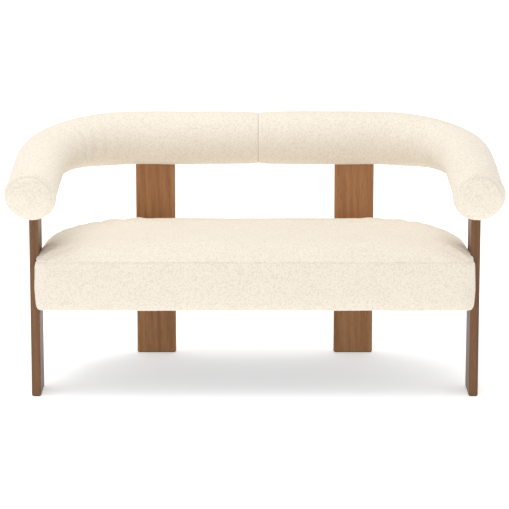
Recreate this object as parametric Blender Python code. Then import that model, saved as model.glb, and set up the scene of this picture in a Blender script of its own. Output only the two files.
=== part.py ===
"""Two-seat sofa: a round upholstered bolster runs along both arms and the back, over a thick boxed seat,
and the two are joined by four wooden planks, which are also the legs.

Metres, +Z up. The front is at -Y, and left is -X as seen from the front. The origin is on the floor
below the middle of the sofa. The bolster's centreline is one curve: a nearly straight arm that toes
inwards, a quarter of a sheared ellipse at the corner, and a straight back. Its arc length, counted
from the arm's front end, places everything that follows it.
"""

from math import atan, cos, hypot, pi, radians, sin

import bmesh
import bpy
from mathutils import Matrix, Vector

# ---------------------------------------------------------------- driving dimensions
WIDTH = 1.498  # over the two arms at their front ends
DEPTH = 0.710  # from the arms' front ends to the back of the bolster
HEIGHT = 0.796  # floor to the top of the back
GAP = 0.0003  # clearance between pieces that touch

# Bolster
ARM_RADIUS = 0.0795
BACK_RADIUS = 0.088
ARM_END_SETBACK = 0.036  # from the arm's foremost point to where it reaches its full radius
ARM_TOE = 0.034  # the arm's run inwards for each metre back
CORNER_SETBACK = 0.342  # from the back's centreline forwards to where the corner starts
CORNER_REACH = 0.295  # how far the corner comes in from the side
ARM_DROP = 0.0775  # how far the arm's front end lies below the back
DROP_LENGTH = 0.603  # arc length over which the arm comes down
SWELL_START = 0.43  # arc length where the tube starts to thicken
SWELL_END = 0.666  # arc length where it has the back's radius
PINCH_DEPTH = 0.0065  # how far the centre seam draws the tube in
PINCH_LENGTH = 0.08
END_ROUND = 0.022  # rounding of the arm's front end
END_DOME = 0.006  # crown of the flat end panel
SLEEVE_THICKNESS = 0.0045  # cover fabric with its wadding
PLY_THICKNESS = 0.036  # bolster rail, across
PLY_HEIGHT = 0.050

# Legs
LEG_THICKNESS = 0.028
LEG_WIDTH = 0.126
LEG_EDGE = 0.0035  # rounding of the long edges
SIDE_LEG_SETBACK = 0.068  # from the arm's foremost point to the side leg's front edge
REAR_LEG_SPACING = 0.640  # between the middles of the rear legs
PAD_THICKNESS = 0.003
PAD_MARGIN = 0.003  # the pad lies this far inside the leg's foot
LEG_TOP_GAP = 0.0008  # below the bolster rail

# Seat
SEAT_SETBACK = 0.011  # from the arm's foremost point to the seat's front
SEAT_BOTTOM = 0.278
SEAT_SEAM = 0.429  # height of the seam between the border and the top
SEAT_CROWN = 0.041  # rise of the top above that seam
CROWN_REACH = 0.105  # distance over which the top rounds up
SEAT_INSET = 0.009  # the seam lies this far inside the bolster's centreline
SEAT_CORNER = 0.030  # plan radius of the front corners
BORDER_BULGE = 0.009
BORDER_WEB = 0.0035  # what is left of the border behind a leg
COVER_THICKNESS = 0.0045
DUST_THICKNESS = 0.0012

# Seat frame
RAIL_THICKNESS = 0.022
RAIL_HEIGHT = 0.090
CROSS_RAIL_SPACING = 0.420
STRAP_COUNT = 8
STRAP_WIDTH = 0.050
STRAP_THICKNESS = 0.002
STRAP_PITCH = 0.135
CORNER_BLOCK = 0.065

# Bolts
BOLT_RADIUS = 0.004
HEAD_RADIUS = 0.0068
HEAD_HEIGHT = 0.005
SEAT_BOLT_IN_LEG = 0.016  # how deep a seat bolt goes into the leg
SEAT_BOLT_SPACING = 0.056  # between the two bolts of a leg
BOLSTER_BOLT_IN_LEG = 0.060
HEAD_SINK = 0.012  # a bolster bolt's head lies this far below the rail's top

# Facets
TUBE_SIDES = 20
BOLT_SIDES = 12

# ---------------------------------------------------------------- derived sizes
FRONT = -DEPTH / 2
BACK_Y = DEPTH / 2 - BACK_RADIUS
BACK_Z = HEIGHT - BACK_RADIUS
ARM_X = WIDTH / 2 - ARM_RADIUS
ARM_END_Y = FRONT + ARM_END_SETBACK
CORNER_Y = BACK_Y - CORNER_SETBACK
CORNER_X = ARM_X - ARM_TOE * (CORNER_Y - ARM_END_Y)
CORNER_END_X = CORNER_X - ARM_TOE * CORNER_SETBACK - CORNER_REACH
RAIL_INSET = LEG_THICKNESS / 2 + ARM_TOE * LEG_WIDTH / 2 + BORDER_WEB + 2 * GAP
RAIL_BOTTOM = SEAT_BOTTOM + DUST_THICKNESS + GAP
RAIL_TOP = RAIL_BOTTOM + RAIL_HEIGHT
SIDE_LEG_Y = FRONT + SIDE_LEG_SETBACK + LEG_WIDTH / 2
LEG_BOTTOM = PAD_THICKNESS + GAP

# ---------------------------------------------------------------- the bolster's centreline
ARM_STEPS = 24
CORNER_STEPS = 96


def centreline_half():
    """Points (x, y) of the right half of the centreline, from the arm's front end to the back's middle."""
    points = []
    for i in range(ARM_STEPS):
        y = ARM_END_Y + (CORNER_Y - ARM_END_Y) * i / ARM_STEPS
        points.append(Vector((ARM_X - ARM_TOE * (y - ARM_END_Y), y)))
    for i in range(CORNER_STEPS + 1):
        turn = pi / 2 * i / CORNER_STEPS
        along = CORNER_SETBACK * sin(turn)
        x = CORNER_X - ARM_TOE * along - CORNER_REACH * (1 - cos(turn))
        points.append(Vector((x, CORNER_Y + along)))
    points.append(Vector((0.0, BACK_Y)))
    return points


HALF = centreline_half()
LENGTHS = [0.0]
for before, after in zip(HALF, HALF[1:]):
    LENGTHS.append(LENGTHS[-1] + (after - before).length)
ARM_LENGTH = LENGTHS[ARM_STEPS]
CORNER_LENGTH = LENGTHS[ARM_STEPS + CORNER_STEPS] - ARM_LENGTH
HALF_LENGTH = LENGTHS[-1]


def plan_at(s):
    """Centreline point in plan at arc length s, and the unit direction of travel. It runs on before 0."""
    i = 0
    while i < len(HALF) - 2 and LENGTHS[i + 1] <= s + 1e-9:
        i += 1
    step = HALF[i + 1] - HALF[i]
    share = (s - LENGTHS[i]) / step.length
    return HALF[i] + step * share, step.normalized()


def arm_length_at(y):
    """Arc length at which the straight arm reaches y."""
    return (y - ARM_END_Y) * hypot(1, ARM_TOE)


def height_at(s):
    return BACK_Z - ARM_DROP * min(max(1 - s / DROP_LENGTH, 0), 1 + 0.2) ** 2


def radius_at(s):
    """Radius of the covered tube, which thickens towards the back and is drawn in at the centre seam."""
    swell = min(max((s - SWELL_START) / (SWELL_END - SWELL_START), 0), 1)
    radius = ARM_RADIUS + (BACK_RADIUS - ARM_RADIUS) * swell * swell * (3 - 2 * swell)
    near = max(1 - (HALF_LENGTH - s) / PINCH_LENGTH, 0)
    return radius - PINCH_DEPTH * near * near


def frame_at(s):
    """Matrix whose origin is the centreline at s and whose Z runs along it, towards the back's middle."""
    point, direction = plan_at(s)
    slope = (height_at(s + 0.002) - height_at(s - 0.002)) / 0.004
    along = Vector((direction.x, direction.y, slope)).normalized()
    across = along.cross(Vector((0, 0, 1))).normalized()
    up = across.cross(along)
    turn = Matrix((across, up, along)).transposed().to_4x4()
    return Matrix.Translation((point.x, point.y, height_at(s))) @ turn


# ---------------------------------------------------------------- mesh helpers
def material(name, colour, roughness, metallic=0.0):
    made = bpy.data.materials.new(name)
    made.use_nodes = True
    shader = made.node_tree.nodes["Principled BSDF"]
    shader.inputs["Base Color"].default_value = (*colour, 1)
    shader.inputs["Roughness"].default_value = roughness
    shader.inputs["Metallic"].default_value = metallic
    return made


def add_object(name, bm, finish, smooth=None):
    """A new object from a closed bmesh. smooth is the angle, in degrees, up to which edges are shaded round."""
    bmesh.ops.recalc_face_normals(bm, faces=bm.faces)
    if bm.calc_volume(signed=True) < 0:
        bmesh.ops.reverse_faces(bm, faces=bm.faces)
    mesh = bpy.data.meshes.new(name)
    bm.to_mesh(mesh)
    bm.free()
    if smooth:
        mesh.shade_smooth()
        mesh.set_sharp_from_angle(angle=radians(smooth))
    mesh.materials.append(finish)
    made = bpy.data.objects.new(name, mesh)
    bpy.context.scene.collection.objects.link(made)
    return made


def skin(rings, closed=False, turn_back=None):
    """A surface over a row of rings with the same number of points. It is capped at both ends, or joined
    round from the last ring to the first. Each four-sided facet is split along the same diagonal, and the
    rings from number turn_back on, which run back under the others, along the mirrored one, so that two
    walls a small clearance apart have the same facets."""
    bm = bmesh.new()
    rows = [[bm.verts.new(point) for point in points] for points in rings]
    pairs = list(zip(rows, rows[1:]))
    if closed:
        pairs.append((rows[-1], rows[0]))
    for number, (one, other) in enumerate(pairs):
        back = turn_back is not None and number >= turn_back
        for i in range(len(one)):
            a, b, c, d = one[i - 1], one[i], other[i], other[i - 1]
            halves = ((a, b, d), (b, c, d)) if back else ((a, b, c), (a, c, d))
            for half in halves:
                bm.faces.new(half)
    if not closed:
        bm.faces.new(rows[0])
        bm.faces.new(rows[-1])
    return bm


def mirrored(bm):
    """The same shape for the other side of the sofa."""
    bmesh.ops.scale(bm, vec=(-1, 1, 1), verts=bm.verts)
    return bm


def box(size, centre=(0, 0, 0), edge=0.0, edge_axis=None):
    """A box, with the edges along one axis, or all of them, rounded."""
    bm = bmesh.new()
    bmesh.ops.create_cube(bm, size=1)
    bmesh.ops.scale(bm, vec=size, verts=bm.verts)
    bmesh.ops.translate(bm, vec=centre, verts=bm.verts)
    if edge:
        chosen = bm.edges
        if edge_axis is not None:
            chosen = [e for e in bm.edges if abs((e.verts[0].co - e.verts[1].co)[edge_axis]) > edge]
        bmesh.ops.bevel(bm, geom=list(chosen), offset=edge, segments=2, profile=0.5, affect="EDGES")
    return bm


def turned(profile, sides=BOLT_SIDES):
    """A solid of revolution about Z from (z, radius) pairs."""
    angles = [2 * pi * i / sides for i in range(sides)]
    return skin([[(r * cos(a), r * sin(a), z) for a in angles] for z, r in profile])


def as_cutter(cutter):
    cutter.hide_render = True
    cutter.display_type = "WIRE"
    return cutter


def cut(target, *cutters):
    for cutter in cutters:
        modifier = target.modifiers.new(cutter.name, "BOOLEAN")
        modifier.operation = "DIFFERENCE"
        modifier.solver = "EXACT"
        modifier.object = cutter


def stations(*stops):
    """Arc lengths between stops, each a (length, number of steps up to it) pair after the first length."""
    lengths = [stops[0]]
    for end, steps in stops[1:]:
        start = lengths[-1]
        lengths += [start + (end - start) * (i + 1) / steps for i in range(steps)]
    return lengths


# ---------------------------------------------------------------- bolster shapes
ARM_RUN = (ARM_LENGTH, 5)
CORNER_RUN = (ARM_LENGTH + CORNER_LENGTH, 11)
BACK_RUN = (HALF_LENGTH - PINCH_LENGTH, 2)
PINCH_RUN = (HALF_LENGTH - GAP / 2, 3)


def round_section(s, radius):
    place = frame_at(s)
    angles = [2 * pi * i / TUBE_SIDES for i in range(TUBE_SIDES)]
    return [place @ Vector((radius * cos(a), radius * sin(a), 0)) for a in angles]


def rail_section(s, width, height):
    """An upright rectangle across the centreline."""
    point, direction = plan_at(s)
    side = Vector((direction.y, -direction.x, 0)) * (width / 2)
    middle = Vector((point.x, point.y, height_at(s)))
    top = Vector((0, 0, height / 2))
    return [middle - side - top, middle + side - top, middle + side + top, middle - side + top]


def end_profile(shrink, steps=4):
    """(arc length, radius) pairs over the arm's rounded end, from the rim of its end panel backwards."""
    pairs = []
    for i in range(steps):
        turn = pi / 2 * i / steps
        back = (END_ROUND - shrink) * cos(turn)
        pairs.append((-back, ARM_RADIUS - END_ROUND + (END_ROUND - shrink) * sin(turn)))
    return pairs


def end_panel_sections(shrink):
    """Sections over the slightly domed end panel, from its middle out to its rim."""
    rim = ARM_RADIUS - END_ROUND
    sections = []
    for share in (0.15, 0.6):
        forward = END_ROUND - shrink + END_DOME * (1 - share * share)
        sections.append(round_section(-forward, rim * share))
    return sections


def rounded_end(shrink, skip=0):
    return [round_section(s, r) for s, r in end_profile(shrink)[skip:]]


def tube_stations():
    return stations(0.0, ARM_RUN, CORNER_RUN, BACK_RUN, PINCH_RUN)


SEAM_STEP = 2  # the end panel's seam lies this many steps round the end


def foam_half():
    inset = SLEEVE_THICKNESS + GAP
    rings = end_panel_sections(inset) + rounded_end(inset)
    rings += [round_section(s, radius_at(s) - inset) for s in tube_stations()]
    return skin(rings)


def sleeve_half():
    """The cover from the end panel's seam to the centre seam, open at both."""
    outer = rounded_end(0, SEAM_STEP) + [round_section(s, radius_at(s)) for s in tube_stations()]
    inner = rounded_end(SLEEVE_THICKNESS, SEAM_STEP)
    inner += [round_section(s, radius_at(s) - SLEEVE_THICKNESS) for s in tube_stations()]
    return skin(outer + inner[::-1], closed=True, turn_back=len(outer))


def end_panel():
    """The round cover panel that closes the arm's end. It stops a clearance short of the sleeve."""
    outer = end_profile(0)[:SEAM_STEP + 1]
    inner = end_profile(SLEEVE_THICKNESS)[:SEAM_STEP + 1]
    clear = (outer[-1][0] - outer[-2][0], outer[-1][1] - outer[-2][1])
    share = 1 - GAP / hypot(*clear)
    rings = []
    for pairs in (outer, inner):
        last, rim = pairs[-2], pairs[-1]
        edge = (last[0] + (rim[0] - last[0]) * share, last[1] + (rim[1] - last[1]) * share)
        rings.append([round_section(s, r) for s, r in pairs[:-1]] + [round_section(*edge)])
    front = end_panel_sections(0) + rings[0]
    back = end_panel_sections(SLEEVE_THICKNESS) + rings[1]
    return skin(front + back[::-1], turn_back=len(front))


def ply(start, end, steps_list, extra=0.0):
    """A bolster rail from arc length start to end."""
    rings = [rail_section(s, PLY_THICKNESS + 2 * extra, PLY_HEIGHT + 2 * extra)
             for s in stations(start, *steps_list, end)]
    return skin(rings)


# ---------------------------------------------------------------- seat outline
EDGE_STEPS = 4
SIDE_STEPS = 3
SEAT_CORNER_STEPS = 8
BACK_STEPS = 3


def inset_point(s, inset):
    point, direction = plan_at(s)
    return point + Vector((-direction.y, direction.x)) * inset


def front_edge_y(inset):
    return FRONT + SEAT_SETBACK + BORDER_BULGE + inset - SEAT_INSET


def front_corner_radius(inset):
    return max(SEAT_CORNER + SEAT_INSET - inset, 0.004)


def half_outline(inset):
    """Right half of the seat's outline in plan, this far inside the bolster's centreline. It runs from the
    front edge, round the front corner and the rear corner, to the back's middle."""
    radius = front_corner_radius(inset)
    lean = atan(ARM_TOE)
    middle_y = front_edge_y(inset) + radius
    side = ARM_X - ARM_TOE * (middle_y - ARM_END_Y) - (inset + radius) / cos(lean)
    points = []
    for i in range(EDGE_STEPS + 1):
        angle = -pi / 2 + (pi / 2 + lean) * i / EDGE_STEPS
        points.append(Vector((side + radius * cos(angle), middle_y + radius * sin(angle))))
    start = arm_length_at(middle_y + (inset + radius) * sin(lean))
    run = stations(start, (ARM_LENGTH, SIDE_STEPS), (ARM_LENGTH + CORNER_LENGTH, SEAT_CORNER_STEPS),
                   (HALF_LENGTH, BACK_STEPS))[1:]
    points += [inset_point(s, inset) for s in run]
    return points


def outline(inset, z):
    """The whole outline at height z, closed through the mirrored half."""
    half = half_outline(inset)
    both = [(p.x, p.y, z) for p in half]
    both += [(-p.x, p.y, z) for p in reversed(half[:-1])]
    return both


def crown(shares, inset, drop, least=0.0):
    """Rings over the rounded top, which rises from the seam by a quarter ellipse. None is nearer to the
    bolster's centreline than least."""
    rings = []
    for share in shares:
        turn = pi / 2 * share
        run = CROWN_REACH * (1 - cos(turn))
        rings.append(outline(max(inset + run, least), SEAT_SEAM + SEAT_CROWN * sin(turn) - drop))
    return rings


CROWN_SHARES = [0.0, 0.14, 0.30, 0.48, 0.70, 1.0]


def border_profile():
    """(inset, height) pairs up the border's outer face, which bulges between its two seams."""
    bottom = SEAT_BOTTOM
    top = SEAT_SEAM - GAP
    pairs = []
    for share in (0.0, 0.12, 0.35, 0.65, 0.88, 1.0):
        out = BORDER_BULGE * (1 - (2 * share - 1) ** 4)
        pairs.append((SEAT_INSET - out, bottom + (top - bottom) * share))
    return pairs


def seat_border():
    outer = [outline(inset, z) for inset, z in border_profile()]
    inset = RAIL_INSET - GAP
    inner = [outline(inset, SEAT_SEAM - GAP), outline(inset, SEAT_BOTTOM)]
    return skin(outer + inner, closed=True)


def seat_foam():
    bottom = RAIL_TOP + STRAP_THICKNESS + 2 * GAP
    under = COVER_THICKNESS + GAP
    top = crown(CROWN_SHARES[1:], SEAT_INSET + under, under, RAIL_INSET)
    return skin([outline(RAIL_INSET, bottom), outline(RAIL_INSET, SEAT_SEAM)] + top)


def seat_top():
    outer = crown(CROWN_SHARES, SEAT_INSET, 0)
    inner = [outline(SEAT_INSET + COVER_THICKNESS, SEAT_SEAM)]
    inner += crown(CROWN_SHARES[1:], SEAT_INSET + COVER_THICKNESS, COVER_THICKNESS)
    return skin(outer[::-1] + inner)


def dust_cover():
    inset = RAIL_INSET
    return skin([outline(inset, SEAT_BOTTOM), outline(inset, SEAT_BOTTOM + DUST_THICKNESS)])


# ---------------------------------------------------------------- start
for leftover in list(bpy.data.objects):
    bpy.data.objects.remove(leftover, do_unlink=True)

WALNUT = material("walnut_stained_wood", (0.29, 0.14, 0.062), 0.45)
BOUCLE = material("cream_boucle", (0.87, 0.79, 0.67), 0.95)
FOAM = material("upholstery_foam", (0.78, 0.70, 0.42), 0.9)
PLY = material("birch_plywood", (0.62, 0.44, 0.26), 0.6)
WEB = material("elastic_webbing", (0.05, 0.045, 0.04), 0.8)
LINING = material("black_lining", (0.03, 0.03, 0.03), 0.9)
FELT = material("brown_felt", (0.10, 0.07, 0.05), 0.95)
ZINC = material("zinc_plated_steel", (0.62, 0.62, 0.60), 0.35, 1.0)

SIDES = (("left", -1), ("right", 1))


# ---------------------------------------------------------------- legs and pads
def side_leg_x():
    """The side legs stand on the bolster's centreline."""
    return ARM_X - ARM_TOE * (SIDE_LEG_Y - ARM_END_Y)


def rail_underside(s):
    return height_at(s) - PLY_HEIGHT / 2


def leg_mesh(front_top, rear_top):
    """A plank that stands on its foot, with its width along Y and its top sloped to lie under the rail."""
    size = (LEG_THICKNESS, LEG_WIDTH, 1)
    bm = box(size, (0, 0, LEG_BOTTOM + 0.5), LEG_EDGE, 2)
    for vert in bm.verts:
        if vert.co.z > 0.5:
            share = vert.co.y / LEG_WIDTH + 0.5
            vert.co.z = front_top + (rear_top - front_top) * share
    return bm


LEG_ENDS = [SIDE_LEG_Y - LEG_WIDTH / 2, SIDE_LEG_Y + LEG_WIDTH / 2]
SIDE_TOPS = [rail_underside(arm_length_at(y)) - LEG_TOP_GAP for y in LEG_ENDS]
REAR_TOP = BACK_Z - PLY_HEIGHT / 2 - LEG_TOP_GAP
LEG_PLACES = {
    "side_leg_left": (-side_leg_x(), SIDE_LEG_Y, 0, SIDE_TOPS),
    "side_leg_right": (side_leg_x(), SIDE_LEG_Y, 0, SIDE_TOPS),
    "rear_leg_left": (-REAR_LEG_SPACING / 2, BACK_Y, pi / 2, [REAR_TOP, REAR_TOP]),
    "rear_leg_right": (REAR_LEG_SPACING / 2, BACK_Y, pi / 2, [REAR_TOP, REAR_TOP]),
}

legs = {}
leg_cutters = {}
for name, (x, y, turn, tops) in LEG_PLACES.items():
    leg = add_object(name, leg_mesh(*tops), WALNUT, 35)
    cutter_height = sum(tops) / 2 + PLY_HEIGHT / 2
    slot = box((LEG_THICKNESS + 2 * GAP, LEG_WIDTH + 2 * GAP, cutter_height), (0, 0, cutter_height / 2))
    cutter = as_cutter(add_object("cut_" + name, slot, WALNUT))
    pad_size = (LEG_THICKNESS - 2 * PAD_MARGIN, LEG_WIDTH - 2 * PAD_MARGIN, PAD_THICKNESS)
    pad = add_object(name.replace("leg", "leg_pad"), box(pad_size, (0, 0, PAD_THICKNESS / 2)), FELT)
    for piece in (leg, cutter, pad):
        piece.location = (x, y, 0)
        piece.rotation_euler.z = turn
    legs[name] = leg
    leg_cutters[name] = cutter

# ---------------------------------------------------------------- bolster
PLY_JOINT = ARM_LENGTH + CORNER_LENGTH  # the arm rail meets the back rail here
RAIL_END_GAP = 0.012  # foam in front of the arm rail's end

back_rail = add_object("bolster_back_rail", box(
    (2 * (CORNER_END_X - GAP), PLY_THICKNESS, PLY_HEIGHT), (0, BACK_Y, BACK_Z)), PLY)
arm_rails = {}
for side, sign in SIDES:
    rail = ply(RAIL_END_GAP, (PLY_JOINT, 11), [(ARM_LENGTH, 4)])
    tunnel = ply(RAIL_END_GAP - GAP, (HALF_LENGTH + GAP, 2), [(ARM_LENGTH, 4), (PLY_JOINT, 11)], GAP)
    shapes = {"foam": foam_half(), "sleeve": sleeve_half(), "end": end_panel()}
    if sign < 0:
        mirrored(rail)
        mirrored(tunnel)
        for bm in shapes.values():
            mirrored(bm)
    arm_rails[side] = add_object("bolster_arm_rail_" + side, rail, PLY)
    tunnel_cutter = as_cutter(add_object("cut_tunnel_" + side, tunnel, FOAM))
    foam = add_object("bolster_foam_" + side, shapes["foam"], FOAM, 40)
    sleeve = add_object("bolster_sleeve_" + side, shapes["sleeve"], BOUCLE, 40)
    add_object("arm_end_panel_" + side, shapes["end"], BOUCLE, 40)
    slots = [leg_cutters["side_leg_" + side], leg_cutters["rear_leg_" + side]]
    cut(foam, tunnel_cutter, *slots)
    cut(sleeve, *slots)

# ---------------------------------------------------------------- seat frame
BACK_INNER = BACK_Y - RAIL_INSET - RAIL_THICKNESS
FRONT_OUTER = front_edge_y(RAIL_INSET)
FRONT_INNER = FRONT_OUTER + RAIL_THICKNESS
SIDE_INNER = RAIL_INSET + RAIL_THICKNESS


def side_x(y, inset):
    """Where the straight side of the seat lies at y, this far inside the bolster's centreline."""
    return ARM_X - ARM_TOE * (y - ARM_END_Y) - inset * hypot(1, ARM_TOE)


def upright(plan):
    """A board on edge with this outline in plan, as high as the frame."""
    return skin([[(p.x, p.y, z) for p in plan] for z in (RAIL_BOTTOM, RAIL_TOP)])


def front_rail_shape():
    """The front rail's ends are rounded like the seat's corners."""
    corner = [p for p in half_outline(RAIL_INSET)[:EDGE_STEPS + 1] if p.y < FRONT_INNER]
    half = corner + [Vector((side_x(FRONT_INNER, RAIL_INSET), FRONT_INNER))]
    return upright(half + [Vector((-p.x, p.y)) for p in reversed(half)])


def side_rail_shape():
    """The bent side rail starts behind the front rail and runs to the straight of the back."""
    begin = FRONT_OUTER + max(RAIL_THICKNESS + GAP, front_corner_radius(RAIL_INSET))
    run = stations(ARM_LENGTH, (ARM_LENGTH + CORNER_LENGTH, SEAT_CORNER_STEPS))
    faces = []
    for inset in (RAIL_INSET, SIDE_INNER):
        faces.append([Vector((side_x(begin, inset), begin))] + [inset_point(s, inset) for s in run])
    return upright(faces[0] + faces[1][::-1])


rail_middle_z = (RAIL_BOTTOM + RAIL_TOP) / 2
add_object("seat_front_rail", front_rail_shape(), PLY)
rear_rail = add_object("seat_rear_rail", box(
    (2 * (CORNER_END_X - GAP), RAIL_THICKNESS, RAIL_HEIGHT),
    (0, BACK_INNER + RAIL_THICKNESS / 2, rail_middle_z)), PLY)
side_rails = {}
for side, sign in SIDES:
    bm = side_rail_shape()
    if sign < 0:
        mirrored(bm)
    side_rails[side] = add_object("seat_side_rail_" + side, bm, PLY)

cross_length = BACK_INNER - FRONT_INNER - 2 * GAP
for side, sign in SIDES:
    rail = add_object("seat_cross_rail_" + side, box((RAIL_THICKNESS, cross_length, RAIL_HEIGHT)), PLY)
    rail.location = (sign * CROSS_RAIL_SPACING / 2, (FRONT_INNER + BACK_INNER) / 2, rail_middle_z)


def corner_block():
    """A triangular glue block in the corner of the front rail and the side rail."""
    front = FRONT_INNER + GAP
    near = Vector((side_x(front, SIDE_INNER) - GAP, front))
    back = Vector((side_x(front + CORNER_BLOCK, SIDE_INNER) - GAP, front + CORNER_BLOCK))
    return upright([near, back, Vector((near.x - CORNER_BLOCK, front))])


for side, sign in SIDES:
    bm = corner_block()
    if sign < 0:
        mirrored(bm)
    add_object("seat_corner_block_" + side, bm, PLY)


def back_edge_y(x, inset):
    """How far back the seat reaches at x, this far inside the bolster's centreline."""
    row = [p for p in half_outline(inset) if p.y > CORNER_Y]
    for outer, inner in zip(row, row[1:]):
        if inner.x <= x <= outer.x:
            return inner.y + (outer.y - inner.y) * (x - inner.x) / (outer.x - inner.x)
    return row[0].y


for i in range(STRAP_COUNT):
    x = STRAP_PITCH * (i - (STRAP_COUNT - 1) / 2)
    rear_end = back_edge_y(abs(x) + STRAP_WIDTH / 2, RAIL_INSET + GAP)
    strap_size = (STRAP_WIDTH, rear_end - FRONT_OUTER, STRAP_THICKNESS)
    strap = add_object(f"seat_webbing_{i + 1}", box(strap_size), WEB)
    strap.location = (x, (FRONT_OUTER + rear_end) / 2, RAIL_TOP + GAP + STRAP_THICKNESS / 2)

# ---------------------------------------------------------------- seat upholstery
border = add_object("seat_border", seat_border(), BOUCLE, 40)
add_object("seat_foam", seat_foam(), FOAM, 40)
top_cover = add_object("seat_top_cover", seat_top(), BOUCLE, 40)
add_object("seat_dust_cover", dust_cover(), LINING)
cut(border, *leg_cutters.values())
cut(top_cover, *leg_cutters.values())


# ---------------------------------------------------------------- bolts
def bolt(length, clearance=0.0, head_run=None):
    """A bolt along Z with its head's underside at 0 and its tip at -length. A cutter for it has clearance
    all round, and its head runs on for head_run."""
    head = head_run or HEAD_HEIGHT
    outer = HEAD_RADIUS + clearance
    shank = BOLT_RADIUS + clearance
    edge = 0.0 if clearance else 0.0008
    profile = [(-length - clearance, shank - edge)]
    if edge:
        profile.append((-length + edge, shank))
    profile += [(-clearance, shank), (-clearance, outer), (head - edge, outer)]
    if edge:
        profile.append((head, outer - 2 * edge))
    return turned(profile)


def add_bolt(name, length, place, turn, targets, head_run):
    """The bolt and the holes that it goes through."""
    piece = add_object(name, bolt(length), ZINC, 35)
    hole = as_cutter(add_object("cut_" + name, bolt(length, GAP, head_run), ZINC))
    for made in (piece, hole):
        made.location = place
        made.rotation_euler = turn
    for target in targets:
        cut(target, hole)


def seat_bolts(leg_name, rail, row):
    """Two bolts from inside the seat frame, one above the other, into the leg."""
    x, y, turn, _ = LEG_PLACES[leg_name]
    sign = 1 if x > 0 else -1
    for number, shift in ((1, -0.5), (2, 0.5)):
        z = rail_middle_z + shift * SEAT_BOLT_SPACING
        if row == "side":
            start = side_x(y, SIDE_INNER) - GAP
            length = side_leg_x() - LEG_THICKNESS / 2 + SEAT_BOLT_IN_LEG - start
            place = (sign * start, y, z)
            turn_to = (0, -sign * pi / 2, 0)
        else:
            start = BACK_INNER - GAP
            length = BACK_Y - LEG_THICKNESS / 2 + SEAT_BOLT_IN_LEG - start
            place = (x, start, z)
            turn_to = (pi / 2, 0, 0)
        targets = [rail, border, legs[leg_name]]
        add_bolt(f"seat_bolt_{leg_name}_{number}", length, place, turn_to, targets, HEAD_HEIGHT)


for side, sign in SIDES:
    seat_bolts("side_leg_" + side, side_rails[side], "side")
    seat_bolts("rear_leg_" + side, rear_rail, "rear")
    for row, rail in (("side", arm_rails[side]), ("rear", back_rail)):
        leg_name = row + "_leg_" + side
        x, y, turn, tops = LEG_PLACES[leg_name]
        rail_top = sum(tops) / 2 + LEG_TOP_GAP + PLY_HEIGHT
        head_under = rail_top - HEAD_SINK - HEAD_HEIGHT
        bolt_length = head_under - sum(tops) / 2 + BOLSTER_BOLT_IN_LEG
        add_bolt("bolster_bolt_" + leg_name, bolt_length, (x, y, head_under), (0, 0, 0),
                 [rail, legs[leg_name]], PLY_HEIGHT)
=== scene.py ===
"""Looks of the sofa: a round bolster for arms and back, a deep seat and four wooden legs."""

from math import atan, cos, hypot, pi, radians, sin, tanh

import bmesh
import bpy
from mathutils import Matrix, Vector, noise


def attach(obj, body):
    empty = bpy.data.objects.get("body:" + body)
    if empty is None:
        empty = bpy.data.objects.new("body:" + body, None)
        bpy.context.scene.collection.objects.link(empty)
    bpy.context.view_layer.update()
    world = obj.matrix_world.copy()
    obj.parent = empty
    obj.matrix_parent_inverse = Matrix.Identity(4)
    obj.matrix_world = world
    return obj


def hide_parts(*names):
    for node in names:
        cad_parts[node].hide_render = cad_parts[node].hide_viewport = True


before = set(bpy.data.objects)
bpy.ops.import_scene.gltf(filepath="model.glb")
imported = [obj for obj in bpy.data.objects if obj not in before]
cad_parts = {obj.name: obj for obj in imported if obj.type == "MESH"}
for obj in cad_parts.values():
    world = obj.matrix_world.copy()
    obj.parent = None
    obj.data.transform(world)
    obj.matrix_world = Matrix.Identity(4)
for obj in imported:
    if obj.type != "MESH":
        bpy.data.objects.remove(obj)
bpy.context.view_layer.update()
scene = bpy.context.scene

# ------------------------------------------------------------ sizes, in metres
# The bolster's centreline and the seat's outline follow the CAD solids.
FRONT = -0.355
ARM_RADIUS = 0.0795
BACK_RADIUS = 0.088
BACK_Y = 0.267
BACK_Z = 0.708
ARM_X = 0.6695
ARM_END_Y = -0.319
ARM_TOE = 0.034  # each metre further back, the arms come this much closer
CORNER_Y = -0.075  # where the arms start to bend
CORNER_SETBACK = 0.342
CORNER_REACH = 0.295
ARM_DROP = 0.0775
DROP_LENGTH = 0.603
SWELL_START = 0.43
SWELL_END = 0.666

MID_SEAM_X = 0.011  # the cover's seam in the back
MID_SEAM_GAP = 0.0004
MID_SEAM_DIP = 0.0078  # how far the seam draws the tube in
MID_SEAM_REACH = 0.095
MID_SEAM_ROUND = 0.005  # rounding of the two covers into the seam
MID_SEAM_TUCK = 0.00175  # how far the rounding draws them in
MID_SEAM_TAUT = 0.02  # this near the seam the cover is left no room to fill
MID_SEAM_FADE = 0.05
END_ROUND = 0.022  # rounding of the arm's front end
END_DOME = 0.006
END_SEAM_TURN = radians(62)  # where round that end the panel's seam lies
SEAM_DEPTH = 0.0055
SEAM_WIDTH = 0.0060

FOLD_MIDDLE = 0.50  # along the arm, where the cover gathers inside the bend
FOLD_SPAN = 0.17  # to either side of the middle
FOLD_PITCH = 0.058
FOLD_DEPTH = 0.0060
FOLD_TURN = 0.25  # radians by which the folds lie above the inside

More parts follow.
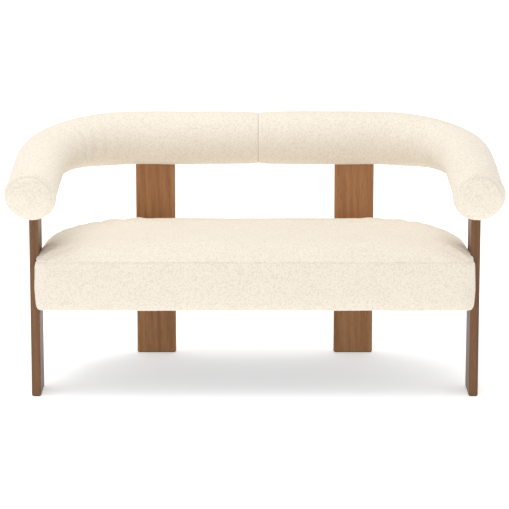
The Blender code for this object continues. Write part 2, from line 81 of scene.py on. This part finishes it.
SEAT_BOTTOM = 0.278
SEAT_SEAM = 0.429
SEAT_CROWN = 0.041
CROWN_REACH = 0.105
FRONT_FLATNESS = 0.80  # 0 leaves the seam upright, 1 at a slope
SIDE_FLATNESS = 0.20
FRONT_CROWN_END = -0.08  # the front's flatter top runs out from here
FRONT_CROWN_BLEND = 0.14
SEAT_INSET = 0.009
SIDE_SEAM_OUT = 0.004  # round the corners the seam is drawn in this much less
SIDE_SEAM_REACH = 0.04  # above and below the seam
SIDE_SEAM_START = 0.06  # behind the front, where it is so in full
SEAT_CORNER = 0.034
SEAT_FRONT = FRONT + 0.011
BORDER_BULGE = 0.009
BOTTOM_ROUND = 0.002
FRAME_INSET = 0.0196  # the padding ends this far inside the centreline, against the frame
FRAME_TOP = 0.3735

ROOM = 0.0006  # clearance round wood and steel
COVER_SWELL = 0.003  # room the bolster's cover is left to fill
SEAT_SWELL = 0.007
BORDER_SWELL = 0.0055
STEP = 0.009  # spacing of the points along the padding
TUBE_SIDES = 60
FILLING_STEPS = 20
LUMPS_PER_METRE = 9.0
NUBS_PER_METRE = 150.0

# Boucle colours: the first is painted shade for the hollows between the loops, the last is the palest, for
# the nub tips.
BOUCLE_PAINTED_SHADE = (0.750, 0.668, 0.560)
BOUCLE_BODY = (0.818, 0.750, 0.642)
BOUCLE_TIP = (0.852, 0.794, 0.696)


# ------------------------------------------------------------ centreline
def clamped(share):
    return min(max(share, 0), 1)


def eased(share):
    """The share from 0 to 1 with a soft start and end."""
    return share * share * (3 - 2 * share)


def half_centreline():
    """Points in plan of the right half, from the arm's front end to the back's middle."""
    points = []
    for i in range(25):
        y = ARM_END_Y + (CORNER_Y - ARM_END_Y) * i / 24
        points.append(Vector((ARM_X - ARM_TOE * (y - ARM_END_Y), y)))
    corner = points[-1]
    for i in range(1, 97):
        turn = pi / 2 * i / 96
        along = CORNER_SETBACK * sin(turn)
        x = corner.x - ARM_TOE * along - CORNER_REACH * (1 - cos(turn))
        points.append(Vector((x, CORNER_Y + along)))
    points.append(Vector((0.0, BACK_Y)))
    return points


HALF = half_centreline()
LENGTHS = [0.0]
for before, after in zip(HALF, HALF[1:]):
    LENGTHS.append(LENGTHS[-1] + (after - before).length)
ARM_LENGTH = LENGTHS[24]
BEND_END = LENGTHS[120]
HALF_LENGTH = LENGTHS[-1]


def plan_at(s):
    """Centreline point at arc length s and the direction of travel. It runs on past both ends."""
    i = 0
    while i < len(HALF) - 2 and LENGTHS[i + 1] <= s + 1e-9:
        i += 1
    step = HALF[i + 1] - HALF[i]
    return HALF[i] + step * ((s - LENGTHS[i]) / step.length), step.normalized()


def height_at(s):
    """Height of the centreline, which drops towards the arm's end."""
    return BACK_Z - ARM_DROP * min(max(1 - s / DROP_LENGTH, 0), 1.2) ** 2


def tube_radius(s, seam):
    """Radius of the bolster, which thickens towards the back and is drawn in at its seam."""
    swell = clamped((s - SWELL_START) / (SWELL_END - SWELL_START))
    radius = ARM_RADIUS + (BACK_RADIUS - ARM_RADIUS) * eased(swell)
    near = max(1 - (seam - s) / MID_SEAM_REACH, 0)
    return radius - MID_SEAM_DIP * near * near


def across(s):
    """Matrix whose origin is the centreline at s and whose Z runs along it."""
    point, direction = plan_at(s)
    slope = (height_at(s + 0.002) - height_at(s - 0.002)) / 0.004
    along = Vector((direction.x, direction.y, slope)).normalized()
    side = along.cross(Vector((0, 0, 1))).normalized()
    turn = Matrix((side, side.cross(along), along)).transposed().to_4x4()
    return Matrix.Translation((point.x, point.y, height_at(s))) @ turn


def spread(start, end, step):
    """Values from start to end, about a step apart."""
    count = max(round(abs(end - start) / step), 1)
    return [start + (end - start) * i / count for i in range(count + 1)]


# ------------------------------------------------------------ mesh helpers
def loft(rings):
    """A form drawn through closed rings: each is extruded from the one before and moved into place."""
    bm = bmesh.new()
    bmesh.ops.create_circle(bm, segments=len(rings[0]), radius=1.0)
    verts = list(bm.verts)
    for vert, place in zip(verts, rings[0]):
        vert.co = place
    for ring in rings[1:]:
        edges = [bm.edges.get(pair) for pair in zip(verts, verts[1:] + verts[:1])]
        made = set(bmesh.ops.extrude_edge_only(bm, edges=edges)["geom"])
        verts = [next(e.other_vert(v) for e in v.link_edges if e.other_vert(v) in made)
                 for v in verts]
        for vert, place in zip(verts, ring):
            vert.co = place
    return bm, verts


def outward(bm):
    """Turns every face of the closed form outwards."""
    bmesh.ops.recalc_face_normals(bm, faces=bm.faces[:])
    if bm.calc_volume(signed=True) < 0:
        bmesh.ops.reverse_faces(bm, faces=bm.faces[:])


def add_piece(name, bm, material):
    """An object of the bmesh, smooth and in the material."""
    mesh = bpy.data.meshes.new(name)
    bm.to_mesh(mesh)
    bm.free()
    mesh.materials.append(material)
    mesh.shade_smooth()
    piece = bpy.data.objects.new(name, mesh)
    scene.collection.objects.link(piece)
    return piece


def settle(piece):
    """Makes the piece's modifiers part of its mesh."""
    shown = piece.evaluated_get(bpy.context.evaluated_depsgraph_get())
    mesh = bpy.data.meshes.new_from_object(shown)
    piece.modifiers.clear()
    old, piece.data = piece.data, mesh
    mesh.name = piece.name
    bpy.data.meshes.remove(old)


def fill(piece, held, most, pressure):
    """Fills the cover by cloth simulation, its held points staying where they are sewn or fixed.
    No point moves further than most, in metres."""
    start = [v.co.copy() for v in piece.data.vertices]
    group = piece.vertex_groups.new(name="sewn")
    group.add(held, 1.0, "REPLACE")
    cloth = piece.modifiers.new("filling", "CLOTH")
    cloth.settings.vertex_group_mass = group.name
    cloth.settings.use_pressure = True
    cloth.settings.uniform_pressure_force = pressure
    cloth.settings.effector_weights.gravity = 0
    cloth.point_cache.frame_start = 1
    cloth.point_cache.frame_end = FILLING_STEPS
    for number in range(1, FILLING_STEPS + 1):
        scene.frame_set(number)
    filled = piece.evaluated_get(bpy.context.evaluated_depsgraph_get()).data
    end = [v.co.copy() for v in filled.vertices]
    piece.modifiers.clear()
    piece.vertex_groups.clear()
    scene.frame_set(1)
    for vert, a, b in zip(piece.data.vertices, start, end):
        move = (b - a).length
        if move > 1e-7:
            vert.co = a + (b - a) * (most * tanh(move / most) / move)


def soften(piece, lumps, nubs):
    """One subdivision, then the slow unevenness of hand-laid padding and the loops' own relief."""
    smooth = piece.modifiers.new("smooth", "SUBSURF")
    smooth.levels = smooth.render_levels = 1
    settle(piece)
    bm = bmesh.new()
    bm.from_mesh(piece.data)
    bm.normal_update()
    for vert in bm.verts:
        slow = noise.noise(vert.co * LUMPS_PER_METRE) * lumps
        fine = noise.noise(vert.co * NUBS_PER_METRE) * nubs
        vert.co += vert.normal * (slow + fine)
    bm.to_mesh(piece.data)
    bm.free()


def make_room(piece, *groups):
    """Cuts room in the padding for each group of hard nodes that go into it."""
    cutters = []
    for names in groups:
        bm = bmesh.new()
        for name in names:
            bm.from_mesh(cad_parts[name].data)
        bmesh.ops.remove_doubles(bm, verts=bm.verts[:], dist=1e-5)
        bm.normal_update()
        for vert in bm.verts:
            vert.co += vert.normal * ROOM
        cutter = add_piece("room", bm, None)
        cutters.append(cutter)
        cut = piece.modifiers.new("room", "BOOLEAN")
        cut.object = cutter
        cut.operation = "DIFFERENCE"
        cut.solver = "EXACT"
    settle(piece)
    for cutter in cutters:
        bpy.data.meshes.remove(cutter.data)
    piece.data.shade_smooth()
    piece.data.set_sharp_from_angle(angle=radians(40))


# ------------------------------------------------------------ materials
def new_material(name):
    """A material, its node tree and its shader."""
    made = bpy.data.materials.new(name)
    made.use_nodes = True
    tree = made.node_tree
    shader = tree.nodes["Principled BSDF"]
    return made, tree, shader


def colours(tree, source, stops):
    """A colour ramp on the source, with (place, colour) stops."""
    ramp = tree.nodes.new("ShaderNodeValToRGB")
    elements = ramp.color_ramp.elements
    while len(elements) < len(stops):
        elements.new(0.5)
    for element, (place, colour) in zip(elements, stops):
        element.position = place
        element.color = (*colour, 1)
    tree.links.new(source, ramp.inputs["Fac"])
    return ramp.outputs["Color"]


def bump(tree, shader, height, distance, strength):
    """Gives the shader relief, distance metres deep at most."""
    node = tree.nodes.new("ShaderNodeBump")
    node.inputs["Distance"].default_value = distance
    node.inputs["Strength"].default_value = strength
    tree.links.new(height, node.inputs["Height"])
    tree.links.new(node.outputs["Normal"], shader.inputs["Normal"])


def combine(tree, operation, a, b):
    """a and b, each a socket or a number, put together by a Math node."""
    node = tree.nodes.new("ShaderNodeMath")
    node.operation = operation
    for socket, value in zip(node.inputs, (a, b)):
        if isinstance(value, (int, float)):
            socket.default_value = value
        else:
            tree.links.new(value, socket)
    return node.outputs[0]


def noise_on(tree, vector, scale, detail, roughness=0.5):
    """The value of a noise texture at the vector."""
    node = tree.nodes.new("ShaderNodeTexNoise")
    node.inputs["Scale"].default_value = scale
    node.inputs["Detail"].default_value = detail
    node.inputs["Roughness"].default_value = roughness
    tree.links.new(vector, node.inputs["Vector"])
    return node.outputs["Fac"]


def boucle():
    """Cream boucle: knotted loops that stand up in nubs, with painted shade in the hollows between them."""
    made, tree, shader = new_material("cream_boucle")
    place = tree.nodes.new("ShaderNodeTexCoord").outputs["Object"]
    curl = tree.nodes.new("ShaderNodeTexNoise")
    curl.inputs["Scale"].default_value = 210
    curl.inputs["Detail"].default_value = 1.5
    tree.links.new(place, curl.inputs["Vector"])
    bend = tree.nodes.new("ShaderNodeVectorMath")
    bend.operation = "MULTIPLY_ADD"
    bend.inputs[1].default_value = (0.006, 0.006, 0.006)
    tree.links.new(curl.outputs["Color"], bend.inputs[0])
    tree.links.new(place, bend.inputs[2])
    loops = tree.nodes.new("ShaderNodeTexVoronoi")
    loops.feature = "SMOOTH_F1"
    loops.inputs["Scale"].default_value = 190
    loops.inputs["Smoothness"].default_value = 0.35
    tree.links.new(bend.outputs[0], loops.inputs["Vector"])
    strands = tree.nodes.new("ShaderNodeTexVoronoi")
    strands.feature = "DISTANCE_TO_EDGE"
    strands.inputs["Scale"].default_value = 420
    tree.links.new(bend.outputs[0], strands.inputs["Vector"])
    nub = combine(tree, "SUBTRACT", 0.9, loops.outputs["Distance"])
    strand = combine(tree, "MULTIPLY", strands.outputs["Distance"], 0.45)
    height = combine(tree, "ADD", nub, strand)
    patch = noise_on(tree, place, 16, 3)
    # Painted shade: the colour darkens from the nub tips down into the hollows between the loops; the patch
    # noise adds random tone.
    shade = combine(tree, "ADD", height, combine(tree, "MULTIPLY", patch, 0.25))
    tint = colours(tree, shade, [(0.30, BOUCLE_PAINTED_SHADE), (0.62, BOUCLE_BODY), (1.0, BOUCLE_TIP)])
    tree.links.new(tint, shader.inputs["Base Color"])
    shader.inputs["Roughness"].default_value = 0.95
    shader.inputs["Specular IOR Level"].default_value = 0.15
    shader.inputs["Sheen Weight"].default_value = 0.25
    shader.inputs["Sheen Roughness"].default_value = 0.6
    shader.inputs["Sheen Tint"].default_value = (1.0, 0.96, 0.9, 1)
    bump(tree, shader, height, 0.0018, 0.32)
    return made


def grain_group():
    """Grain of sawn wood along Z: Tone runs from pale to dark wood, Pores marks the open pores."""
    group = bpy.data.node_groups.new("wood_grain", "ShaderNodeTree")
    group.interface.new_socket("Vector", in_out="INPUT", socket_type="NodeSocketVector")
    figure = group.interface.new_socket("Figure", in_out="INPUT", socket_type="NodeSocketFloat")
    figure.default_value = 1.0
    group.interface.new_socket("Tone", in_out="OUTPUT", socket_type="NodeSocketFloat")
    group.interface.new_socket("Pores", in_out="OUTPUT", socket_type="NodeSocketFloat")
    given = group.nodes.new("NodeGroupInput")
    put = group.nodes.new("NodeGroupOutput")

    def stretched(scale):
        node = group.nodes.new("ShaderNodeMapping")
        node.inputs["Scale"].default_value = scale
        group.links.new(given.outputs["Vector"], node.inputs["Vector"])
        return node.outputs["Vector"]

    wander = noise_on(group, stretched((14, 14, 1.1)), 1.0, 3)
    fibre = noise_on(group, stretched((210, 210, 5)), 1.0, 4, 0.6)
    streak = noise_on(group, stretched((60, 60, 1.6)), 1.0, 3, 0.55)
    pores = noise_on(group, stretched((900, 900, 26)), 1.0, 2, 0.5)
    wave = group.nodes.new("ShaderNodeTexWave")
    wave.wave_type = "BANDS"
    wave.bands_direction = "DIAGONAL"
    wave.inputs["Scale"].default_value = 5.5
    wave.inputs["Distortion"].default_value = 9.0
    wave.inputs["Detail"].default_value = 2.0
    wave.inputs["Detail Scale"].default_value = 0.6
    group.links.new(stretched((4.2, 4.2, 0.22)), wave.inputs["Vector"])
    rings = combine(group, "MULTIPLY", wave.outputs["Fac"], 0.10)
    tone = combine(group, "ADD", combine(group, "MULTIPLY", wander, 0.30), rings)
    tone = combine(group, "ADD", tone, combine(group, "MULTIPLY", streak, 0.34))
    tone = combine(group, "ADD", tone, combine(group, "MULTIPLY", fibre, 0.30))
    tone = combine(group, "MULTIPLY", tone, given.outputs["Figure"])
    group.links.new(tone, put.inputs["Tone"])
    group.links.new(pores, put.inputs["Pores"])
    return group


def wood(name, group, figure, stops, roughness):
    """Stained or bare wood: stops colour the grain, roughness is its lowest and highest value."""
    made, tree, shader = new_material(name)
    place = tree.nodes.new("ShaderNodeTexCoord").outputs["Object"]
    grain = tree.nodes.new("ShaderNodeGroup")
    grain.node_tree = group
    grain.inputs["Figure"].default_value = figure
    tree.links.new(place, grain.inputs["Vector"])
    body = colours(tree, grain.outputs["Tone"], stops)
    open_pores = colours(tree, grain.outputs["Pores"], [(0.30, (0.55,) * 3), (0.42, (1.0,) * 3)])
    mix = tree.nodes.new("ShaderNodeMix")
    mix.data_type = "RGBA"
    mix.blend_type = "MULTIPLY"
    mix.inputs["Factor"].default_value = 1.0
    tree.links.new(body, mix.inputs["A"])
    tree.links.new(open_pores, mix.inputs["B"])
    tree.links.new(mix.outputs["Result"], shader.inputs["Base Color"])
    low, high = roughness
    span = combine(tree, "MULTIPLY", grain.outputs["Tone"], high - low)
    tree.links.new(combine(tree, "ADD", span, low), shader.inputs["Roughness"])
    shader.inputs["Specular IOR Level"].default_value = 0.28
    pores = combine(tree, "MULTIPLY", grain.outputs["Pores"], 0.8)
    height = combine(tree, "ADD", grain.outputs["Tone"], pores)
    bump(tree, shader, height, 0.0006, 0.5)
    return made


def speckled(name, stops, scale, roughness, depth, metallic=0.0):
    """A plain finish broken up by fine noise in its colour and relief."""
    made, tree, shader = new_material(name)
    place = tree.nodes.new("ShaderNodeTexCoord").outputs["Object"]
    fine = noise_on(tree, place, scale, 4, 0.6)
    tree.links.new(colours(tree, fine, stops), shader.inputs["Base Color"])
    span = combine(tree, "MULTIPLY", fine, 0.25)
    tree.links.new(combine(tree, "ADD", span, roughness - 0.12), shader.inputs["Roughness"])
    shader.inputs["Metallic"].default_value = metallic
    bump(tree, shader, fine, depth, 0.6)
    return made


def woven(name, pale, dark, pitch):
    """Flat woven tape or cloth: threads crossing at the pitch."""
    made, tree, shader = new_material(name)
    place = tree.nodes.new("ShaderNodeTexCoord").outputs["Object"]
    parts = tree.nodes.new("ShaderNodeSeparateXYZ")
    tree.links.new(place, parts.inputs[0])
    warp, weft = [combine(tree, "SINE", combine(tree, "MULTIPLY", part, 2 * pi / pitch), 0.0)
                  for part in (parts.outputs["X"], parts.outputs["Y"])]
    crossing = combine(tree, "MULTIPLY", warp, weft)
    weave = combine(tree, "ADD", combine(tree, "MULTIPLY", crossing, 0.5), 0.5)
    tree.links.new(colours(tree, weave, [(0.0, dark), (0.7, pale)]), shader.inputs["Base Color"])
    shader.inputs["Roughness"].default_value = 0.85
    bump(tree, shader, weave, 0.0006, 0.6)
    return made


cream_boucle = boucle()
wood_grain = grain_group()
walnut_stain = wood("walnut_stain", wood_grain, 1.0,
                    [(0.32, (0.50, 0.250, 0.108)), (0.52, (0.40, 0.188, 0.076)),
                     (0.75, (0.26, 0.115, 0.044))], (0.42, 0.60))
# The side legs' walnut is the same stain made darker, as painted shade for their front edges, which lie in
# shade.
walnut_painted_shade = wood("walnut_stain_painted_shade", wood_grain, 1.0,
                   [(0.32, (0.225, 0.108, 0.047)), (0.52, (0.172, 0.079, 0.033)),
                    (0.75, (0.112, 0.049, 0.020))], (0.36, 0.52))
birch_ply = wood("birch_ply", wood_grain, 0.8,
                 [(0.2, (0.62, 0.46, 0.29)), (0.8, (0.40, 0.26, 0.14))], (0.6, 0.8))
zinc_plate = speckled("zinc_plate", [(0.3, (0.50, 0.51, 0.52)), (0.7, (0.66, 0.67, 0.68))],
                      260, 0.35, 0.0001, metallic=1.0)
grey_felt = speckled("grey_felt", [(0.3, (0.10, 0.09, 0.08)), (0.7, (0.17, 0.16, 0.14))], 900, 0.95, 0.0004)
black_lining = woven("black_lining", (0.030, 0.030, 0.032), (0.014, 0.014, 0.015), 0.0016)
jute_webbing = woven("jute_webbing", (0.50, 0.36, 0.20), (0.26, 0.17, 0.08), 0.0042)


# ------------------------------------------------------------ bolster
def seam_dip(distance):
    """How deep the cover lies at this distance from a seam."""
    return SEAM_DEPTH * max(1 - abs(distance) / SEAM_WIDTH, 0) ** 2


def bolster_profile(seam):
    """(arc length, radius) from the middle of the end panel to the back's seam."""
    rim = ARM_RADIUS - END_ROUND
    profile = []
    for share in (0.10, 0.25, 0.4, 0.55, 0.7, 0.85):
        profile.append((-END_ROUND - END_DOME * (1 - share * share), rim * share))
    seam_at = END_ROUND * END_SEAM_TURN
    turns = sorted(set(spread(0.0, END_ROUND * pi / 2, 0.0045)
                       + [seam_at + d for d in (-SEAM_WIDTH, -0.0018, 0.0, 0.0018, SEAM_WIDTH)]))
    for length in reversed(turns):
        turn = length / END_ROUND
        radius = END_ROUND - seam_dip(length - seam_at)
        profile.append((-radius * sin(turn), rim + radius * cos(turn)))
    last = seam - MID_SEAM_GAP / 2
    for s in spread(0.0, last - MID_SEAM_ROUND, STEP)[1:]:
        profile.append((s, tube_radius(s, seam)))
    for turn in spread(0.0, pi / 2, 0.32)[1:]:
        s = last - MID_SEAM_ROUND * (1 - sin(turn))
        profile.append((s, tube_radius(s, seam) - MID_SEAM_TUCK * (1 - cos(turn))))
    s, radius = profile[-1]
    profile += [(s, radius * share) for share in (0.8, 0.55, 0.3, 0.12)]
    return profile


def fold_depth(s):
    """Depth of the cover's folds inside the bend, at arc length s."""
    bend = max(1 - ((s - FOLD_MIDDLE) / FOLD_SPAN) ** 2, 0)
    return FOLD_DEPTH * bend * (0.5 - 0.5 * cos(2 * pi * (s - FOLD_MIDDLE) / FOLD_PITCH))


def bolster_ring(s, radius, seam):
    """Points round the bolster at arc length s, drawn in by what the filling pushes out again."""
    full = clamped((seam - MID_SEAM_TAUT - s) / MID_SEAM_FADE) if s > 0 else 0
    fold = fold_depth(s)
    place = across(s)
    ring = []
    for i in range(TUBE_SIDES):
        angle = 2 * pi * i / TUBE_SIDES
        inner = max(-cos(angle + FOLD_TURN), 0) ** 2
        slim = radius - COVER_SWELL * full - fold * inner
        ring.append(place @ Vector((slim * cos(angle), slim * sin(angle), 0)))
    return ring


def bolster_half(name, side):
    """One half of the bolster, from the arm's end panel to the seam in the back."""
    seam = HALF_LENGTH - side * MID_SEAM_X
    bm, last = loft([bolster_ring(s, radius, seam) for s, radius in bolster_profile(seam)])
    first = bm.verts[:TUBE_SIDES]
    for ring in (first, last):
        bmesh.ops.pointmerge(bm, verts=ring, merge_co=sum((v.co for v in ring), Vector()) / TUBE_SIDES)
    if side < 0:
        bmesh.ops.scale(bm, vec=(-1, 1, 1), verts=bm.verts[:])
    outward(bm)
    bm.verts.index_update()
    to_panel = across(-END_ROUND * sin(END_SEAM_TURN)).inverted()
    held = []
    for vert in bm.verts:
        in_panel = to_panel @ Vector((vert.co.x * side, vert.co.y, vert.co.z))
        at_panel = abs(in_panel.z) < 0.0012 and hypot(in_panel.x, in_panel.y) < ARM_RADIUS
        at_seam = abs(vert.co.x - MID_SEAM_X) < 0.004 and vert.co.y > 0
        if at_seam or at_panel:
            held.append(vert.index)
    piece = add_piece(name, bm, cream_boucle)
    fill(piece, held, 2 * COVER_SWELL, pressure=12.0)
    soften(piece, lumps=0.0012, nubs=0.0005)
    return piece


for hand, side in (("left", -1), ("right", 1)):
    bolster = bolster_half(f"bolster_{hand}", side)
    make_room(bolster, [f"side_leg_{hand}", f"rear_leg_{hand}"], [f"bolster_arm_rail_{hand}"],
              ["bolster_back_rail"], [f"bolster_bolt_side_leg_{hand}", f"bolster_bolt_rear_leg_{hand}"])
    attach(bolster, "root")
    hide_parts(f"bolster_foam_{hand}", f"bolster_sleeve_{hand}", f"arm_end_panel_{hand}")


# ------------------------------------------------------------ seat
def inset_point(s, inset):
    """The point in plan this far inside the centreline at arc length s."""
    point, direction = plan_at(s)
    return point + Vector((-direction.y, direction.x)) * inset


def seat_outline(inset, z):
    """The seat's outline at height z, this far inside the bolster's centreline."""
    radius = max(SEAT_CORNER + SEAT_INSET - inset, 0.004)
    lean = atan(ARM_TOE)
    front_y = SEAT_FRONT + BORDER_BULGE + inset - SEAT_INSET
    middle_y = front_y + radius
    corner_x = ARM_X - ARM_TOE * (middle_y - ARM_END_Y) - (inset + radius) / cos(lean)
    half = [Vector((corner_x * i / 62, front_y)) for i in range(62)]
    for i in range(7):
        angle = -pi / 2 + (pi / 2 + lean) * i / 6
        half.append(Vector((corner_x + radius * cos(angle), middle_y + radius * sin(angle))))
    start = (middle_y + (inset + radius) * sin(lean) - ARM_END_Y) * hypot(1, ARM_TOE)
    run = [start + (ARM_LENGTH - start) * i / 24 for i in range(1, 25)]
    run += [ARM_LENGTH + (BEND_END - ARM_LENGTH) * i / 54 for i in range(1, 55)]
    run += [BEND_END + (HALF_LENGTH - BEND_END) * i / 36 for i in range(1, 37)]
    half += [inset_point(s, inset) for s in run]
    whole = half + [Vector((-p.x, p.y)) for p in reversed(half[1:-1])]
    return [Vector((p.x, p.y, z)) for p in whole]


def border_rings():
    """Rings up the outer face, which bulges between the bottom edge and the seam."""
    rings = []
    near_seam = [SEAT_SEAM - 0.0045, SEAT_SEAM - 0.0022, SEAT_SEAM]
    for z in spread(SEAT_BOTTOM, SEAT_SEAM, STEP)[:-1] + near_seam:
        share = (z - SEAT_BOTTOM) / (SEAT_SEAM - SEAT_BOTTOM)
        out = (BORDER_BULGE - BORDER_SWELL) * (1 - (2 * share - 1) ** 4)
        low = BOTTOM_ROUND * max(1 - (z - SEAT_BOTTOM) / 0.012, 0) ** 2
        rings.append(seat_outline(SEAT_INSET - out + low + seam_dip(z - SEAT_SEAM), z))
    return rings


def crown_rings():
    """Rings from the seam over the rounded top to its level middle. The top leaves the seam less steeply at
    the front than at the sides and the back."""
    rings = []
    for turn in [0.07, 0.13] + spread(0.20, pi / 2, 0.075):
        run = CROWN_REACH * (1 - cos(turn))
        dip = seam_dip(SEAT_CROWN * sin(turn))
        ring = seat_outline(SEAT_INSET + run + dip, SEAT_SEAM)
        for point in ring:
            front = eased(clamped((FRONT_CROWN_END - point.y) / FRONT_CROWN_BLEND))
            flat = SIDE_FLATNESS + (FRONT_FLATNESS - SIDE_FLATNESS) * front
            rise = SEAT_CROWN * ((1 - flat) * sin(turn) + flat * sin(turn) ** 2)
            point.z += rise - SEAT_SWELL * sin(turn) ** 2
        rings.append(ring)
    return rings


def quilt(bm, ring, step):
    """Closes the level ring with faces about a step across."""
    bmesh.ops.contextual_create(bm, geom=ring)
    level = ring[0].co.z
    inside = dict.fromkeys(ring)
    for axis in (0, 1):
        low, high = min(v.co[axis] for v in ring), max(v.co[axis] for v in ring)
        direction = Vector((1 - axis, axis, 0))
        for place in spread(low, high, step)[1:-1]:
            faces = [f for f in bm.faces if all(v in inside for v in f.verts)]
            edges = dict.fromkeys(e for f in faces for e in f.edges)
            made = bmesh.ops.bisect_plane(bm, geom=[*faces, *edges, *inside], dist=step * 0.08,
                                          plane_co=direction * place + Vector((0, 0, level)),
                                          plane_no=direction)
            for part in made["geom_cut"]:
                if isinstance(part, bmesh.types.BMVert):
                    inside[part] = None
    bmesh.ops.remove_doubles(bm, verts=list(inside), dist=step * 0.25)


def ease_side_seam(bm):
    """Lets the seam and the padding next to it out again, everywhere but at the front."""
    bm.normal_update()
    for vert in bm.verts:
        out = Vector((vert.normal.x, vert.normal.y, 0))
        near = 1 - abs(vert.co.z - SEAT_SEAM) / SIDE_SEAM_REACH
        if out.length > 0.3 and near > 0 and vert.normal.z > -0.5:
            aside = clamped((vert.co.y - SEAT_FRONT) / SIDE_SEAM_START)
            vert.co += out.normalized() * (SIDE_SEAM_OUT * aside * eased(near))


def seat_cushion():
    """Foam, border and top cover in one, hollow underneath for the frame."""
    under = [seat_outline(FRAME_INSET + 0.03, FRAME_TOP), seat_outline(FRAME_INSET, FRAME_TOP),
             seat_outline(FRAME_INSET, (FRAME_TOP + SEAT_BOTTOM) / 2),
             seat_outline(FRAME_INSET, SEAT_BOTTOM)]
    bm, last = loft(under + border_rings() + crown_rings())
    first = bm.verts[:len(last)]
    quilt(bm, last, STEP)
    quilt(bm, first, 5 * STEP)
    outward(bm)
    ease_side_seam(bm)
    bm.verts.index_update()
    held = []
    for vert in bm.verts:
        at_bottom = vert.co.z < SEAT_BOTTOM + 0.004
        at_seam = abs(vert.co.z - SEAT_SEAM) < 0.001
        on_frame = abs(vert.co.z - FRAME_TOP) < 1e-5 and vert.normal.z < -0.5
        if at_bottom or at_seam or on_frame:
            held.append(vert.index)
    piece = add_piece("seat_cushion", bm, cream_boucle)
    fill(piece, held, SEAT_SWELL, pressure=4.0)
    soften(piece, lumps=0.0016, nubs=0.0005)
    return piece


cushion = seat_cushion()
LEGS = ["side_leg_left", "side_leg_right", "rear_leg_left", "rear_leg_right"]
make_room(cushion, LEGS, [f"seat_bolt_{leg}_{number}" for leg in LEGS for number in (1, 2)])
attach(cushion, "root")
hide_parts("seat_foam", "seat_top_cover", "seat_border")


# ------------------------------------------------------------ finishes of the hard nodes
def finish_of(name):
    """The finish of the hard node of this name; rails and blocks are plywood."""
    if "bolt_" in name:
        return zinc_plate
    if "pad_" in name:
        return grey_felt
    # The side legs get the darker walnut: painted shade, not another stain.
    if "side_leg_" in name:
        return walnut_painted_shade
    if "rear_leg_" in name:
        return walnut_stain
    if "webbing" in name:
        return jute_webbing
    if "dust" in name:
        return black_lining
    return birch_ply


for name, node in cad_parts.items():
    node.data.materials.clear()
    node.data.materials.append(finish_of(name))


# ------------------------------------------------------------ floor, light and camera
def pale_floor():
    """A wide white floor that glows a little, so that it stays white into the distance."""
    made, tree, shader = new_material("pale_floor")
    place = tree.nodes.new("ShaderNodeTexCoord").outputs["Object"]
    fine = noise_on(tree, place, 40, 3)
    tree.links.new(colours(tree, fine, [(0.3, (0.97, 0.97, 0.97)), (0.7, (0.99, 0.99, 0.99))]),
                   shader.inputs["Base Color"])
    shader.inputs["Roughness"].default_value = 0.9
    shader.inputs["Emission Color"].default_value = (1, 1, 1, 1)
    shader.inputs["Emission Strength"].default_value = 0.47
    bm = bmesh.new()
    bmesh.ops.create_grid(bm, x_segments=8, y_segments=8, size=30)
    floor = add_piece("floor", bm, made)


def softbox(name, place, aim, size, power):
    """A round lamp at the place, turned to the aim."""
    data = bpy.data.lights.new(name, "AREA")
    data.shape = "DISK"
    data.size = size
    data.energy = power
    light = bpy.data.objects.new(name, data)
    light.location = place
    light.rotation_mode = "QUATERNION"
    light.rotation_quaternion = (Vector(aim) - Vector(place)).to_track_quat("-Z", "Y")
    scene.collection.objects.link(light)


pale_floor()
softbox("key", (-1.2, -1.0, 3.5), (0, 0, 0.5), 2.6, 26)
softbox("top", (-0.4, -0.2, 6.0), (0, 0, 0.4), 5.0, 112)

world = bpy.data.worlds.new("studio")
world.use_nodes = True
world.node_tree.nodes["Background"].inputs["Color"].default_value = (1, 1, 1, 1)
world.node_tree.nodes["Background"].inputs["Strength"].default_value = 0.69
scene.world = world
scene.view_settings.view_transform = "Standard"

camera_data = bpy.data.cameras.new("camera")
camera_data.lens = 175.17
camera_data.shift_y = -0.1
camera = bpy.data.objects.new("camera", camera_data)
camera.location = (-0.001, -7.595, 2.012)
camera.rotation_euler = (radians(90 - 10.94), 0, 0)
scene.collection.objects.link(camera)
scene.camera = camera
